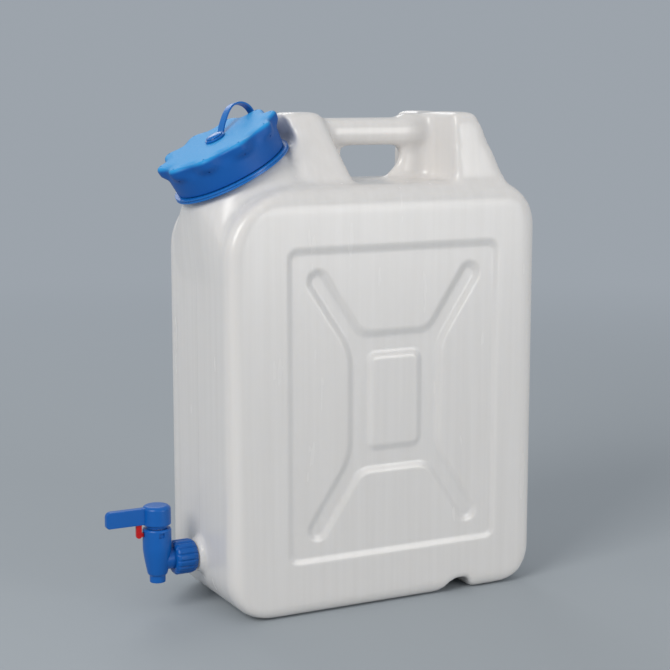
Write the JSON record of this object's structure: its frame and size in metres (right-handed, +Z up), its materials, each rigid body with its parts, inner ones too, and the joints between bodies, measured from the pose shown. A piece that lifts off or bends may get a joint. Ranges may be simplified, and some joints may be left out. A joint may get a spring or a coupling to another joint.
{
  "type": "wide-neck canister with a tap",
  "caption": "Blown plastic canister with a slanted wide neck, a screw cap on a leash, a grip between two posts and a quarter-turn tap at the foot.",
  "frame": {"origin": "middle of the base, on the surface that the canister stands on", "axes": "+Z up, +X along the long side away from the tap, +Y from the pictured broad face to the other"},
  "size_m": [0.4115, 0.148, 0.4668],
  "materials": {
    "milky": "translucent milky white blown plastic, smooth and softly shiny",
    "blue": "moulded blue plastic with a soft shine",
    "seal": "smooth elastomer",
    "natural": "natural moulded plastic",
    "red": "moulded red plastic"
  },
  "bodies": {
    "canister": {"canister_body": "milky"},
    "leash_ring": {"leash": "blue"},
    "strap_end": {"strap_button": "blue"},
    "cap_seal": {"cap_gasket": "seal"},
    "cap": {"screw_cap": "blue"},
    "tap": {"tap_body": "blue", "union_seal": "seal"},
    "nut": {"union_nut": "blue"},
    "lever": {"tap_lever": "blue", "valve_plug": "natural", "plug_seal_upper": "seal", "plug_seal_lower": "seal"},
    "latch": {"lever_latch": "red"}
  },
  "joints": [
    {"name": "leash_swivel", "type": "hinge", "parent": "canister", "child": "leash_ring", "pos_m": [-0.1232, 0, 0.402], "axis": [-0.4726, 0, 0.8813], "continuous": true},
    {"name": "strap_rise", "type": "slide", "parent": "leash_ring", "child": "strap_end", "axis": [-0.4726, 0, 0.8813], "range_m": [0, 0.03], "deforming": ["leash"]},
    {"name": "cap_rise", "type": "slide", "parent": "canister", "child": "cap_seal", "axis": [-0.4726, 0, 0.8813], "range_m": [0, 0.03]},
    {"name": "cap_turn", "type": "hinge", "parent": "cap_seal", "child": "cap", "pos_m": [-0.1232, 0, 0.402], "axis": [-0.4726, 0, 0.8813], "range_deg": [0, 1800]},
    {"name": "tap_draw", "type": "slide", "parent": "canister", "child": "tap", "axis": [-1, 0, 0], "range_m": [0, 0.0126]},
    {"name": "nut_turn", "type": "hinge", "parent": "tap", "child": "nut", "pos_m": [-0.175, 0, 0.05], "axis": [-1, 0, 0], "range_deg": [0, 2520]},
    {"name": "lever_turn", "type": "hinge", "parent": "tap", "child": "lever", "pos_m": [-0.2025, 0, 0.09], "axis": [0, 0, 1], "range_deg": [0, 90]},
    {"name": "latch_slide", "type": "slide", "parent": "lever", "child": "latch", "axis": [-1, 0, 0], "range_m": [0, 0.003], "stiffness_N_per_m": 300}
  ],
  "couplings": [
    {"joint": "cap_rise", "follows": "cap_turn", "m_per_rad": 0.00095493},
    {"joint": "strap_rise", "follows": "cap_turn", "m_per_rad": 0.00095493},
    {"joint": "nut_turn", "follows": "tap_draw", "rad_per_m": 3490.7}
  ]
}
